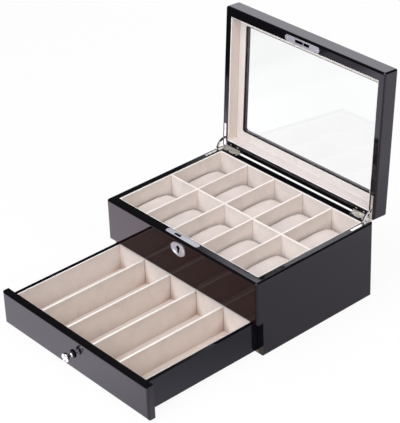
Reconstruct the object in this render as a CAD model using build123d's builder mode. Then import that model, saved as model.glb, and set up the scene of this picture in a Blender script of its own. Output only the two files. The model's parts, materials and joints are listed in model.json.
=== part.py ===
from build123d import *
import os
from math import asin, atan2, cos, degrees, radians, sin, sqrt

os.makedirs("parts", exist_ok=True)

# The box stands with the middle of its footprint at the origin, front towards -Y.
# Every piece is drawn with the lid shut and the drawer in, then written in the open
# pose: lid leaning back, drawer pulled out.

# Carcass, outside sizes and panel thicknesses
WIDTH = 300.0
DEPTH = 214.0
RIM_Z = 118.0
FRONT_WALL = 13.0
SIDE_WALL = 10.5
REAR_WALL = 9.6
BOTTOM_PANEL = 5.0
DECK_PANEL = 4.0
BAY_TOP_Z = 53.2
EDGE_ROUND = 3.0
MATING_ROUND = 0.6
FELT = 1.0
FELT_INSET = 3.0

# Lid
LID_HEIGHT = 25.0
LID_GAP = 0.4
LID_ANGLE = 94.0
TOP_PANEL = 6.5
WINDOW_SIDE = 26.0
WINDOW_FRONT = 28.5
WINDOW_REAR = 26.0
WINDOW_CORNER = 3.5
GLASS = 2.0
GLASS_LAP = 4.0
GLASS_FIT = 0.3
WINDOW_FRAME = 1.5
WINDOW_REVEAL = 2.0

# Velvet lining and dividers
TRAY_LINER = 2.0
TRAY_FLOOR = 1.5
TRAY_LINER_DROP = 0.8
TRAY_DIVIDER_DROP = 1.5
LID_LINER = 1.6
LID_LINER_DROP = 0.5
DRAWER_LINER = 1.6
DRAWER_FLOOR = 1.2
DRAWER_DIVIDER_DROP = 1.0
DIVIDER = 3.0
LONG_DIVIDERS = 4
HALVING_FIT = 0.1

# Watch pillows
PILLOW_SIDE_GAP = 0.5
PILLOW_END_GAP = 1.0
PILLOW_SEAT_GAP = 0.3
PILLOW_HEIGHT = 37.0
PILLOW_CORNER = 13.0
PILLOW_DRAW_IN = 3.0
PILLOW_CROWN = 0.45

# Drawer
DRAWER_HOLD = 8.0
DRAWER_FRONT = 10.5
DRAWER_FRONT_LIFT = 0.5
DRAWER_FRONT_GAP = 1.0
DRAWER_REAR_GAP = 0.5
DRAWER_WALL = 5.5
DRAWER_SIDE_GAP = 1.0
DRAWER_LIFT = 0.4
DRAWER_TOP_GAP = 3.2
DRAWER_BACK_SPACE = 8.5
DRAWER_TAIL_GAP = 0.4
DRAWER_BOTTOM = 3.0

# Knob
ROSE_RADIUS = 6.0
ROSE_THICKNESS = 2.2
NECK_RADIUS = 2.6
HEAD_RADIUS = 6.3
HEAD_THICKNESS = 5.0
HEAD_DOME = 1.0
KNOB_REACH = 14.0
KNOB_SCREW_RADIUS = 2.0
KNOB_SCREW_DEPTH = 7.0
KNOB_SCREW_HEAD = 3.6
KNOB_SCREW_HEAD_THICKNESS = 2.0
KNOB_SCREW_SLOT = 1.0

# Quadrant stay hinges
HINGE_BACK = 1.2
BARREL_RADIUS = 2.1
PIN_RADIUS = 1.0
PIN_FIT = 0.05
PIN_HEAD_RADIUS = 1.9
PIN_HEAD_THICKNESS = 0.6
KNUCKLE_SHARE = 0.3
KNUCKLE_GAP = 0.3
BARREL_LENGTH = 32.5
LEAF = 1.6
LEAF_WIDTH = 5.6
LEAF_INSET = 3.2
LEAF_SIDE_LENGTH = 36.0
LEAF_REAR_LENGTH = 35.0
LEAF_REAR_WIDTH = 7.0
LEAF_REAR_EDGE = 0.4
SIDE_SCREW_FIRST = 4.3
SIDE_SCREW_SECOND = 13.7
REAR_SCREW_FIRST = 5.3
REAR_SCREW_SECOND = 19.3
INLAY_FIT = 0.1
STAY_RADIUS = 14.4
STAY_WIDTH = 2.6
STAY_THICKNESS = 2.0
STAY_FIT = 0.3
STAY_LUG = 1.2
STAY_LUG_ANGLE = 6.0
STAY_POCKET_FIT = 0.5

# Countersunk holes for the wood screws
SCREW_RADIUS = 1.1
SCREW_HEAD_RADIUS = 2.1
SCREW_FIT = 0.05

# Lock in the front rim, striker in the lid, keyhole escutcheon
LOCK_SETBACK = 8.0
LOCK_PLATE = 1.6
LOCK_PLATE_LENGTH = 64.0
LOCK_PLATE_WIDTH = 8.4
STRIKER_LENGTH = 65.0
STRIKER_WIDTH = 9.2
LOCK_SCREW_END = 5.0
KEY_Z = 105.8
HOOK_INNER_RADIUS = 15.0
HOOK_WIDTH = 2.2
HOOK_THICKNESS = 2.0
HOOK_FIT = 0.3
HOOK_NOSE_ANGLE = 16.0
HOOK_TURN = 64.0
HOOK_ARC = 70.0
HOOK_SPOKE = 3.4
HUB_RADIUS = 4.2
HUB_JOURNAL = 3.0
HUB_FIT = 0.05
KEY_BIT_WIDTH = 1.4
KEY_BIT_LENGTH = 4.0
CASE_WALL = 1.5
CASE_THICKNESS = 6.0
CASE_FIT = 0.3
BOLT_FIT = 0.6
LOCK_SLOT_LEFT = -15.5
LOCK_SLOT_RIGHT = -4.0
STRIKER_SLOT_LEFT = -12.9
STRIKER_BRIDGE_LEFT = 1.3
STRIKER_BRIDGE = 1.9
STRIKER_SLOT_RIGHT = 13.2
LOCK_SLOT_WIDTH = 3.8
ESCUTCHEON_HALF_WIDTH = 14.0
ESCUTCHEON_HALF_HEIGHT = 10.0
ESCUTCHEON = 1.0
ESCUTCHEON_RIM = 2.0
ESCUTCHEON_RIM_RISE = 0.7
KEYHOLE_RADIUS = 2.6
KEYHOLE_SLOT = 2.5
KEYHOLE_DROP = 7.5
PIN_NAIL_RADIUS = 0.6
PIN_NAIL_INSET = 3.6

# Places that follow from the sizes above
HALF_WIDTH = WIDTH / 2
FRONT_Y = -DEPTH / 2
REAR_Y = DEPTH / 2
INSIDE_X = HALF_WIDTH - SIDE_WALL
INSIDE_FRONT_Y = FRONT_Y + FRONT_WALL
INSIDE_REAR_Y = REAR_Y - REAR_WALL
BAY_FRONT_Y = FRONT_Y + DRAWER_FRONT + DRAWER_REAR_GAP
BAY_FLOOR_Z = FELT + BOTTOM_PANEL
DECK_TOP_Z = BAY_TOP_Z + DECK_PANEL
TRAY_FLOOR_Z = DECK_TOP_Z + TRAY_FLOOR
LID_Z = RIM_Z + LID_GAP
LID_TOP_Z = LID_Z + LID_HEIGHT
PANEL_Z = LID_TOP_Z - TOP_PANEL
HINGE_Y = REAR_Y + HINGE_BACK
HINGE_Z = RIM_Z + LID_GAP / 2
STAY_X = HALF_WIDTH - LEAF_INSET - LEAF_WIDTH / 2
LOCK_Y = FRONT_Y + LOCK_SETBACK
DRAWER_X = INSIDE_X - DRAWER_SIDE_GAP
DRAWER_BASE_Z = BAY_FLOOR_Z + DRAWER_LIFT
DRAWER_TOP_Z = BAY_TOP_Z - DRAWER_TOP_GAP
DRAWER_INNER_Y = FRONT_Y + DRAWER_FRONT
DRAWER_BACK_Y = INSIDE_REAR_Y - DRAWER_BACK_SPACE
DRAWER_TAIL_Y = INSIDE_REAR_Y - DRAWER_TAIL_GAP
DRAWER_OUT = DRAWER_TAIL_Y - BAY_FRONT_Y - DRAWER_HOLD
DRAWER_FRONT_BASE_Z = FELT + DRAWER_FRONT_LIFT
DRAWER_FRONT_TOP_Z = BAY_TOP_Z - DRAWER_FRONT_GAP
KNOB_Z = (DRAWER_FRONT_BASE_Z + DRAWER_FRONT_TOP_Z) / 2

# Open pose
hinge_line = Location((0, HINGE_Y, HINGE_Z))
LID_OPEN = hinge_line * Location((0, 0, 0), (-LID_ANGLE, 0, 0)) * hinge_line.inverse()
STAY_OPEN = hinge_line * Location((0, 0, 0), (-LID_ANGLE / 2, 0, 0)) * hinge_line.inverse()
DRAWER_OPEN = Location((0, -DRAWER_OUT, 0))
SHUT = Location((0, 0, 0))


def write(piece, name, pose=SHUT):
    """Label a finished piece and write it in its open pose."""
    piece.part.label = name
    export_step(piece.part.moved(pose), f"parts/{name}.step")


def block(low, high, mode=Mode.ADD):
    """Rectangular stock between two corners."""
    size = [high[i] - low[i] for i in range(3)]
    with BuildSketch(Plane.XY.offset(low[2])) as footprint:
        with Locations(((low[0] + high[0]) / 2, (low[1] + high[1]) / 2)):
            Rectangle(size[0], size[1])
    extrude(footprint.sketch, amount=size[2], mode=mode)


def sector(inner, outer, start, size):
    """Face of an arc-shaped bar round the sketch origin, angles in degrees."""
    with BuildLine() as outline:
        outside = CenterArc((0, 0), outer, start, size)
        inside = CenterArc((0, 0), inner, start, size)
        Line(outside @ 0, inside @ 0)
        Line(outside @ 1, inside @ 1)
    make_face(outline.edges())


# Quadrant stay hinge: arm sizes that follow from the lid's angle

STAY_OUTER = STAY_RADIUS + STAY_WIDTH / 2
STAY_INNER = STAY_RADIUS - STAY_WIDTH / 2
STAY_LUG_INNER = STAY_INNER - STAY_LUG
LEAF_DEEP = LEAF + LID_GAP / 2
STAY_LUG_START = LID_ANGLE / 2 + degrees(asin((LEAF_DEEP + STAY_FIT) / STAY_LUG_INNER))
STAY_HALF_ANGLE = STAY_LUG_START + STAY_LUG_ANGLE
STAY_SLOT_FRONT = HINGE_Y - STAY_OUTER - STAY_FIT
STAY_SLOT_REAR = HINGE_Y - sqrt(STAY_INNER**2 - LEAF_DEEP**2) + STAY_FIT
POCKET_FRONT = HINGE_Y - STAY_OUTER - STAY_POCKET_FIT
POCKET_REAR = HINGE_Y - STAY_LUG_INNER * cos(radians(STAY_HALF_ANGLE)) + STAY_POCKET_FIT
POCKET_DEEP = STAY_OUTER * sin(radians(STAY_HALF_ANGLE)) + STAY_POCKET_FIT
LEAF_OUTER_X = HALF_WIDTH - LEAF_INSET
LEAF_END_X = LEAF_OUTER_X - LEAF_REAR_LENGTH
LEAF_FRONT_Y = REAR_Y - LEAF_SIDE_LENGTH
LEAF_REAR_Y = HINGE_Y - BARREL_RADIUS - LEAF_REAR_EDGE
LEAF_REAR_ARM_Y = LEAF_REAR_Y - LEAF_REAR_WIDTH
BARREL_START_X = LEAF_END_X + PIN_HEAD_THICKNESS
SIDE_SCREWS = [(STAY_X, LEAF_FRONT_Y + place) for place in (SIDE_SCREW_FIRST, SIDE_SCREW_SECOND)]
REAR_SCREWS = [
    (LEAF_END_X + place, LEAF_REAR_Y - LEAF_REAR_WIDTH / 2)
    for place in (REAR_SCREW_FIRST, REAR_SCREW_SECOND)
]
LEAF_SCREWS = SIDE_SCREWS + REAR_SCREWS
LOCK_SCREWS = [(side * (LOCK_PLATE_LENGTH / 2 - LOCK_SCREW_END), LOCK_Y) for side in (-1, 1)]
STRIKER_SCREWS = [(side * (STRIKER_LENGTH / 2 - LOCK_SCREW_END), LOCK_Y) for side in (-1, 1)]


def leaf_outline(grow=0.0):
    """L-shaped leaf seen from above, right-hand side, with a round front end."""
    width = LEAF_WIDTH + 2 * grow
    with Locations((STAY_X, (LEAF_FRONT_Y + LEAF_WIDTH / 2 + LEAF_REAR_Y) / 2)):
        Rectangle(width, LEAF_REAR_Y - LEAF_FRONT_Y - LEAF_WIDTH / 2)
    with Locations((STAY_X, LEAF_FRONT_Y + LEAF_WIDTH / 2)):
        Circle(width / 2)
    with Locations(((LEAF_END_X + LEAF_OUTER_X) / 2, (LEAF_REAR_ARM_Y + LEAF_REAR_Y) / 2)):
        Rectangle(LEAF_REAR_LENGTH + 2 * grow, LEAF_REAR_WIDTH + 2 * grow)


def hinge_recess(up):
    """Cut the right-hand leaf recess and stay pocket; up is +1 in the lid."""
    face_z = HINGE_Z + up * LID_GAP / 2
    with BuildSketch(Plane.XY.offset(face_z)) as seat:
        leaf_outline(INLAY_FIT)
        with Locations(((LEAF_END_X + LEAF_OUTER_X) / 2, REAR_Y)):
            Rectangle(LEAF_REAR_LENGTH + 2 * INLAY_FIT, 2 * (REAR_Y - LEAF_REAR_ARM_Y))
    extrude(seat.sketch, amount=up * LEAF, mode=Mode.SUBTRACT)
    with BuildSketch(Plane.XY.offset(face_z)) as pocket:
        with Locations((STAY_X, (POCKET_FRONT + POCKET_REAR) / 2)):
            Rectangle(STAY_THICKNESS + 2 * STAY_POCKET_FIT, POCKET_REAR - POCKET_FRONT)
    extrude(pocket.sketch, amount=up * (POCKET_DEEP - LID_GAP / 2), mode=Mode.SUBTRACT)


def knuckle_spans(own):
    """Lengths of barrel that a leaf holds: the two ends, or the middle."""
    end = BARREL_LENGTH * KNUCKLE_SHARE
    start, stop = BARREL_START_X, BARREL_START_X + BARREL_LENGTH
    if own == "ends":
        return [(start, start + end), (stop - end, stop)]
    return [(start + end + KNUCKLE_GAP, stop - end - KNUCKLE_GAP)]


def hinge_leaf(up, own):
    """Right-hand leaf, set flush in the rim (up -1) or in the lid (up +1)."""
    face_z = HINGE_Z + up * LID_GAP / 2
    with BuildPart() as leaf:
        with BuildSketch(Plane.XY.offset(face_z)):
            leaf_outline()
            slot_y = (STAY_SLOT_FRONT + STAY_SLOT_REAR) / 2
            with Locations((STAY_X, slot_y)):
                Rectangle(STAY_THICKNESS + 2 * STAY_FIT, STAY_SLOT_REAR - STAY_SLOT_FRONT,
                          mode=Mode.SUBTRACT)
        extrude(amount=up * LEAF)
        for start, stop in knuckle_spans(own):
            with BuildSketch(Plane.YZ.offset(start)):
                with Locations((HINGE_Y, HINGE_Z)):
                    Circle(BARREL_RADIUS)
                with Locations(((LEAF_REAR_Y + HINGE_Y) / 2, face_z + up * LEAF / 2)):
                    Rectangle(HINGE_Y - LEAF_REAR_Y, LEAF)
            extrude(amount=stop - start)
        with BuildSketch(Plane.YZ.offset(BARREL_START_X)):
            with Locations((HINGE_Y, HINGE_Z)):
                Circle(PIN_RADIUS + PIN_FIT)
        extrude(amount=BARREL_LENGTH, mode=Mode.SUBTRACT)
        outward = Plane(origin=(0, 0, face_z), x_dir=(1, 0, 0), z_dir=(0, 0, -up))
        for x, y in LEAF_SCREWS:
            with Locations(Plane(origin=(x, y, face_z), z_dir=outward.z_dir)):
                CounterSinkHole(SCREW_RADIUS + SCREW_FIT, SCREW_HEAD_RADIUS + SCREW_FIT, LEAF)
    return leaf


def left_copy(piece):
    """The mirror image of a right-hand piece."""
    with BuildPart() as twin:
        mirror(piece.part, about=Plane.YZ)
    return twin


# Front panel: closes the tray in front and carries the lock

HOOK_OUTER = HOOK_INNER_RADIUS + HOOK_WIDTH
HOOK_REST_NOSE = HOOK_NOSE_ANGLE - HOOK_TURN
HOOK_REST_TAIL = HOOK_REST_NOSE - HOOK_ARC
CASE_LEFT = -HOOK_OUTER - BOLT_FIT - CASE_WALL
CASE_RIGHT = HUB_RADIUS + BOLT_FIT + CASE_WALL
CASE_TOP_Z = RIM_Z - LOCK_PLATE
CASE_BASE_Z = KEY_Z + HOOK_OUTER * cos(radians(HOOK_REST_TAIL)) - BOLT_FIT - CASE_WALL


def plate_outline(length, width):
    """Lock or striker plate seen from above, with half-round ends."""
    with Locations((0, LOCK_Y)):
        SlotOverall(length, width)


def keyhole(radius, slot, drop):
    """Keyhole seen from the front: a round with a slot below it."""
    with Locations((0, KEY_Z)):
        Circle(radius)
    with Locations((0, KEY_Z - drop / 2)):
        Rectangle(slot, drop)


with BuildPart() as front_panel:
    block((-HALF_WIDTH, FRONT_Y, BAY_TOP_Z), (HALF_WIDTH, INSIDE_FRONT_Y, RIM_Z))
    front_edges = front_panel.faces().sort_by(Axis.Y)[0].edges()
    end_tops = front_panel.edges().filter_by(Axis.Y).group_by(Axis.Z)[-1]
    fillet(front_edges + end_tops, EDGE_ROUND)
    with BuildSketch(Plane.XY.offset(RIM_Z)):
        plate_outline(LOCK_PLATE_LENGTH + 2 * INLAY_FIT, LOCK_PLATE_WIDTH + 2 * INLAY_FIT)
    extrude(amount=-LOCK_PLATE, mode=Mode.SUBTRACT)
    block(
        (CASE_LEFT - CASE_FIT, LOCK_Y - CASE_THICKNESS / 2 - CASE_FIT, CASE_BASE_Z - CASE_FIT),
        (CASE_RIGHT + CASE_FIT, LOCK_Y + CASE_THICKNESS / 2 + CASE_FIT, RIM_Z),
        mode=Mode.SUBTRACT,
    )
    with BuildSketch(Plane.XZ.offset(-FRONT_Y)):
        keyhole(KEYHOLE_RADIUS, KEYHOLE_SLOT, KEYHOLE_DROP)
    extrude(amount=-LOCK_SETBACK, mode=Mode.SUBTRACT)
write(front_panel, "front_panel")

# Side walls, notched at the front for the full-width drawer front

with BuildPart() as side_wall_right:
    with BuildSketch(Plane.YZ.offset(INSIDE_X)):
        with BuildLine():
            Polyline(
                (BAY_FRONT_Y, FELT), (REAR_Y, FELT), (REAR_Y, RIM_Z), (INSIDE_FRONT_Y, RIM_Z),
                (INSIDE_FRONT_Y, BAY_TOP_Z), (BAY_FRONT_Y, BAY_TOP_Z), close=True,
            )
        make_face()
    extrude(amount=SIDE_WALL)
    outer_edges = side_wall_right.faces().sort_by(Axis.X)[-1].edges()
    rounded = outer_edges.filter_by(Axis.Y).sort_by(Axis.Z)
    rear_edge = outer_edges.filter_by(Axis.Z).sort_by(Axis.Y)[-1]
    fillet([rounded[0], rounded[-1], rear_edge], EDGE_ROUND)
    hinge_recess(-1)
write(side_wall_right, "side_wall_right")
side_wall_left = left_copy(side_wall_right)
write(side_wall_left, "side_wall_left")

# Rear wall between the sides

with BuildPart() as rear_wall:
    block((-INSIDE_X, INSIDE_REAR_Y, FELT), (INSIDE_X, REAR_Y, RIM_Z))
    rear_edges = rear_wall.faces().sort_by(Axis.Y)[-1].edges().filter_by(Axis.X).sort_by(Axis.Z)
    fillet(rear_edges[0], EDGE_ROUND)
    fillet(rear_edges[-1], MATING_ROUND)
    hinge_recess(-1)
    split(bisect_by=Plane.YZ, keep=Keep.TOP)
    mirror(about=Plane.YZ)
write(rear_wall, "rear_wall")

# Bottom, deck between tray and drawer bay, and the felt underneath

with BuildPart() as bottom_panel:
    block((-INSIDE_X, BAY_FRONT_Y, FELT), (INSIDE_X, INSIDE_REAR_Y, BAY_FLOOR_Z))
write(bottom_panel, "bottom_panel")

with BuildPart() as deck_panel:
    block((-INSIDE_X, INSIDE_FRONT_Y, BAY_TOP_Z), (INSIDE_X, INSIDE_REAR_Y, DECK_TOP_Z))
write(deck_panel, "deck_panel")

with BuildPart() as base_felt:
    block(
        (-HALF_WIDTH + FELT_INSET, BAY_FRONT_Y + FELT_INSET, 0),
        (HALF_WIDTH - FELT_INSET, REAR_Y - FELT_INSET, FELT),
    )
write(base_felt, "base_felt")

# Tray lining: a velvet-covered open box let into the carcass

TRAY_X = INSIDE_X - TRAY_LINER
TRAY_FRONT_Y = INSIDE_FRONT_Y + TRAY_LINER
TRAY_REAR_Y = INSIDE_REAR_Y - TRAY_LINER
TRAY_DIVIDER_Z = RIM_Z - TRAY_DIVIDER_DROP

with BuildPart() as tray_liner:
    block(
        (-INSIDE_X, INSIDE_FRONT_Y, DECK_TOP_Z),
        (INSIDE_X, INSIDE_REAR_Y, RIM_Z - TRAY_LINER_DROP),
    )
    block(
        (-TRAY_X, TRAY_FRONT_Y, TRAY_FLOOR_Z), (TRAY_X, TRAY_REAR_Y, RIM_Z),
        mode=Mode.SUBTRACT,
    )
write(tray_liner, "tray_liner")


def spread(half_width, count):
    """Centres of dividers that leave equal cells across an inner width."""
    cell = (2 * half_width - count * DIVIDER) / (count + 1)
    return [-half_width + (i + 1) * cell + (i + 0.5) * DIVIDER for i in range(count)], cell


tray_divider_xs, tray_cell = spread(TRAY_X, LONG_DIVIDERS)
cross_y = (TRAY_FRONT_Y + TRAY_REAR_Y) / 2
halving_z = (TRAY_FLOOR_Z + TRAY_DIVIDER_Z) / 2
halving_width = DIVIDER + 2 * HALVING_FIT

# Tray dividers, halved over each other

with BuildPart() as tray_cross_divider:
    block(
        (-TRAY_X, cross_y - DIVIDER / 2, TRAY_FLOOR_Z),
        (TRAY_X, cross_y + DIVIDER / 2, TRAY_DIVIDER_Z),
    )
    with BuildSketch(Plane.XY.offset(halving_z)):
        with Locations([(x, cross_y) for x in tray_divider_xs]):
            Rectangle(halving_width, 2 * DIVIDER)
    extrude(amount=RIM_Z - halving_z, mode=Mode.SUBTRACT)
write(tray_cross_divider, "tray_cross_divider")

for number, x in enumerate(tray_divider_xs, start=1):
    with BuildPart() as tray_divider:
        block(
            (x - DIVIDER / 2, TRAY_FRONT_Y, TRAY_FLOOR_Z),
            (x + DIVIDER / 2, TRAY_REAR_Y, TRAY_DIVIDER_Z),
        )
        with BuildSketch(Plane.XY.offset(halving_z)):
            with Locations((x, cross_y)):
                Rectangle(2 * DIVIDER, halving_width)
        extrude(amount=TRAY_FLOOR_Z - halving_z, mode=Mode.SUBTRACT)
    write(tray_divider, f"tray_divider_{number}")

# Watch pillows: crowned foam in a velvet wrap, drawn in towards the seam at each end

pillow_length = cross_y - DIVIDER / 2 - TRAY_FRONT_Y - 2 * PILLOW_END_GAP
half_pillow = (tray_cell - 2 * PILLOW_SIDE_GAP) / 2
half_crown = half_pillow * PILLOW_CROWN
crown_to_seam = half_pillow - half_crown


def pillow(x, y):
    """One pillow with its middle over a cell's middle."""
    z = TRAY_FLOOR_Z + PILLOW_SEAT_GAP + PILLOW_HEIGHT / 2
    with BuildPart() as cushion:
        with BuildSketch(Plane(origin=(x, y, z), x_dir=(0, 1, 0), z_dir=(1, 0, 0))):
            RectangleRounded(pillow_length, PILLOW_HEIGHT, PILLOW_CORNER)
        extrude(amount=half_crown, both=True)
        crown_ends = cushion.faces().sort_by(Axis.X)
        narrowing = degrees(atan2(PILLOW_DRAW_IN, crown_to_seam))
        extrude([crown_ends[0], crown_ends[-1]], amount=crown_to_seam, taper=narrowing)
    return cushion


cell_xs = [-TRAY_X + (i + 0.5) * tray_cell + i * DIVIDER for i in range(LONG_DIVIDERS + 1)]
front_cell_y = (TRAY_FRONT_Y + cross_y - DIVIDER / 2) / 2
rear_cell_y = (TRAY_REAR_Y + cross_y + DIVIDER / 2) / 2
for row, y in (("front", front_cell_y), ("rear", rear_cell_y)):
    for number, x in enumerate(cell_xs, start=1):
        write(pillow(x, y), f"pillow_{row}_{number}")

# Drawer: lacquered front, thin box behind it, velvet insert and dividers

with BuildPart() as drawer_front:
    block(
        (-HALF_WIDTH, FRONT_Y, DRAWER_FRONT_BASE_Z),
        (HALF_WIDTH, DRAWER_INNER_Y, DRAWER_FRONT_TOP_Z),
    )
    fillet(drawer_front.faces().sort_by(Axis.Y)[0].edges(), EDGE_ROUND)
    with Locations(Plane(origin=(0, DRAWER_INNER_Y, KNOB_Z), z_dir=(0, 1, 0))):
        CounterBoreHole(
            KNOB_SCREW_RADIUS + SCREW_FIT, KNOB_SCREW_HEAD + STAY_FIT, KNOB_SCREW_HEAD_THICKNESS,
            DRAWER_FRONT,
        )
write(drawer_front, "drawer_front", DRAWER_OPEN)

with BuildPart() as drawer_side_right:
    block(
        (DRAWER_X - DRAWER_WALL, DRAWER_INNER_Y, DRAWER_BASE_Z),
        (DRAWER_X, DRAWER_TAIL_Y, DRAWER_TOP_Z),
    )
write(drawer_side_right, "drawer_side_right", DRAWER_OPEN)
write(left_copy(drawer_side_right), "drawer_side_left", DRAWER_OPEN)

DRAWER_INSIDE_X = DRAWER_X - DRAWER_WALL
DRAWER_INSIDE_REAR_Y = DRAWER_BACK_Y - DRAWER_WALL
DRAWER_FLOOR_Z = DRAWER_BASE_Z + DRAWER_BOTTOM

with BuildPart() as drawer_back:
    block(
        (-DRAWER_INSIDE_X, DRAWER_INSIDE_REAR_Y, DRAWER_BASE_Z),
        (DRAWER_INSIDE_X, DRAWER_BACK_Y, DRAWER_TOP_Z),
    )
write(drawer_back, "drawer_back", DRAWER_OPEN)

with BuildPart() as drawer_bottom:
    block(
        (-DRAWER_INSIDE_X, DRAWER_INNER_Y, DRAWER_BASE_Z),
        (DRAWER_INSIDE_X, DRAWER_INSIDE_REAR_Y, DRAWER_FLOOR_Z),
    )
write(drawer_bottom, "drawer_bottom", DRAWER_OPEN)

DRAWER_CELL_X = DRAWER_INSIDE_X - DRAWER_LINER
DRAWER_CELL_FRONT_Y = DRAWER_INNER_Y + DRAWER_LINER
DRAWER_CELL_REAR_Y = DRAWER_INSIDE_REAR_Y - DRAWER_LINER
DRAWER_CELL_Z = DRAWER_FLOOR_Z + DRAWER_FLOOR

with BuildPart() as drawer_liner:
    block(
        (-DRAWER_INSIDE_X, DRAWER_INNER_Y, DRAWER_FLOOR_Z),
        (DRAWER_INSIDE_X, DRAWER_INSIDE_REAR_Y, DRAWER_TOP_Z),
    )
    block(
        (-DRAWER_CELL_X, DRAWER_CELL_FRONT_Y, DRAWER_CELL_Z),
        (DRAWER_CELL_X, DRAWER_CELL_REAR_Y, RIM_Z),
        mode=Mode.SUBTRACT,
    )
write(drawer_liner, "drawer_liner", DRAWER_OPEN)

drawer_divider_xs, drawer_cell = spread(DRAWER_CELL_X, LONG_DIVIDERS)
for number, x in enumerate(drawer_divider_xs, start=1):
    with BuildPart() as drawer_divider:
        block(
            (x - DIVIDER / 2, DRAWER_CELL_FRONT_Y, DRAWER_CELL_Z),
            (x + DIVIDER / 2, DRAWER_CELL_REAR_Y, DRAWER_TOP_Z - DRAWER_DIVIDER_DROP),
        )
    write(drawer_divider, f"drawer_divider_{number}", DRAWER_OPEN)

# Knob: chamfered rose, waisted neck and domed head, with its screw from inside

with BuildPart() as knob:
    with BuildSketch(Plane.XY.offset(KNOB_Z)):
        with BuildLine():
            bevel = ROSE_THICKNESS / 2
            neck_top = KNOB_REACH - HEAD_THICKNESS
            dome_base = KNOB_REACH - HEAD_DOME
            dome_edge = HEAD_RADIUS - bevel
            dome_radius = (dome_edge**2 + HEAD_DOME**2) / (2 * HEAD_DOME)
            Polyline(
                (0, FRONT_Y), (ROSE_RADIUS, FRONT_Y), (ROSE_RADIUS, FRONT_Y - bevel),
                (ROSE_RADIUS - bevel, FRONT_Y - ROSE_THICKNESS),
                (NECK_RADIUS + bevel, FRONT_Y - ROSE_THICKNESS),
                (NECK_RADIUS, FRONT_Y - (ROSE_THICKNESS + neck_top) / 2),
                (NECK_RADIUS + bevel, FRONT_Y - neck_top),
                (dome_edge, FRONT_Y - neck_top),
                (HEAD_RADIUS, FRONT_Y - neck_top - bevel),
                (HEAD_RADIUS, FRONT_Y - dome_base + bevel),
                (dome_edge, FRONT_Y - dome_base),
            )
            CenterArc(
                (0, FRONT_Y - KNOB_REACH + dome_radius), dome_radius,
                -90, degrees(asin(dome_edge / dome_radius)),
            )
            Line((0, FRONT_Y - KNOB_REACH), (0, FRONT_Y))
        make_face()
    revolve(axis=Axis((0, 0, KNOB_Z), (0, 1, 0)))
    with Locations(Plane(origin=(0, FRONT_Y, KNOB_Z), z_dir=(0, 1, 0))):
        Hole(KNOB_SCREW_RADIUS + SCREW_FIT, depth=KNOB_SCREW_DEPTH)
write(knob, "knob", DRAWER_OPEN)

with BuildPart() as knob_screw:
    with BuildSketch(Plane.XZ.offset(-DRAWER_INNER_Y + KNOB_SCREW_HEAD_THICKNESS)):
        with Locations((0, KNOB_Z)):
            Circle(KNOB_SCREW_HEAD)
    extrude(amount=-KNOB_SCREW_HEAD_THICKNESS)
    with BuildSketch(Plane.XZ.offset(-DRAWER_INNER_Y + KNOB_SCREW_HEAD_THICKNESS)):
        with Locations((0, KNOB_Z)):
            Circle(KNOB_SCREW_RADIUS)
    extrude(amount=DRAWER_FRONT - KNOB_SCREW_HEAD_THICKNESS + KNOB_SCREW_DEPTH - SCREW_FIT)
    with BuildSketch(Plane.XZ.offset(-DRAWER_INNER_Y)):
        with Locations((0, KNOB_Z)):
            Rectangle(2 * KNOB_SCREW_HEAD, KNOB_SCREW_SLOT)
    extrude(amount=KNOB_SCREW_SLOT, mode=Mode.SUBTRACT)
write(knob_screw, "knob_screw", DRAWER_OPEN)

# Lid rails, top panel with its window, glass and lining

with BuildPart() as lid_front_rail:
    block((-HALF_WIDTH, FRONT_Y, LID_Z), (HALF_WIDTH, INSIDE_FRONT_Y, PANEL_Z))
    front_face = lid_front_rail.faces().sort_by(Axis.Y)[0]
    low_front = front_face.edges().filter_by(Axis.X).sort_by(Axis.Z)[0]
    low_ends = lid_front_rail.edges().filter_by(Axis.Y).group_by(Axis.Z)[0]
    uprights = front_face.edges().filter_by(Axis.Z)
    fillet([low_front] + list(low_ends) + list(uprights), EDGE_ROUND)
    with BuildSketch(Plane.XY.offset(LID_Z)):
        plate_outline(STRIKER_LENGTH + 2 * INLAY_FIT, STRIKER_WIDTH + 2 * INLAY_FIT)
    extrude(amount=LOCK_PLATE, mode=Mode.SUBTRACT)
    hook_top_z = KEY_Z + HOOK_OUTER + BOLT_FIT
    block(
        (STRIKER_SLOT_LEFT, LOCK_Y - LOCK_SLOT_WIDTH / 2, LID_Z),
        (STRIKER_SLOT_RIGHT, LOCK_Y + LOCK_SLOT_WIDTH / 2, hook_top_z),
        mode=Mode.SUBTRACT,
    )
write(lid_front_rail, "lid_front_rail", LID_OPEN)

with BuildPart() as lid_side_rail_right:
    block((INSIDE_X, INSIDE_FRONT_Y, LID_Z), (HALF_WIDTH, REAR_Y, PANEL_Z))
    outer_edges = lid_side_rail_right.faces().sort_by(Axis.X)[-1].edges()
    low_edge = outer_edges.filter_by(Axis.Y).sort_by(Axis.Z)[0]
    rear_edge = outer_edges.filter_by(Axis.Z).sort_by(Axis.Y)[-1]
    fillet([low_edge, rear_edge], EDGE_ROUND)
    hinge_recess(1)
write(lid_side_rail_right, "lid_side_rail_right", LID_OPEN)
write(left_copy(lid_side_rail_right), "lid_side_rail_left", LID_OPEN)

with BuildPart() as lid_rear_rail:
    block((-INSIDE_X, INSIDE_REAR_Y, LID_Z), (INSIDE_X, REAR_Y, PANEL_Z))
    rear_face = lid_rear_rail.faces().sort_by(Axis.Y)[-1]
    fillet(rear_face.edges().filter_by(Axis.X).sort_by(Axis.Z)[0], MATING_ROUND)
    hinge_recess(1)
    split(bisect_by=Plane.YZ, keep=Keep.TOP)
    mirror(about=Plane.YZ)
write(lid_rear_rail, "lid_rear_rail", LID_OPEN)

WINDOW_X = HALF_WIDTH - WINDOW_SIDE
WINDOW_FRONT_Y = FRONT_Y + WINDOW_FRONT
WINDOW_REAR_Y = REAR_Y - WINDOW_REAR


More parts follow.
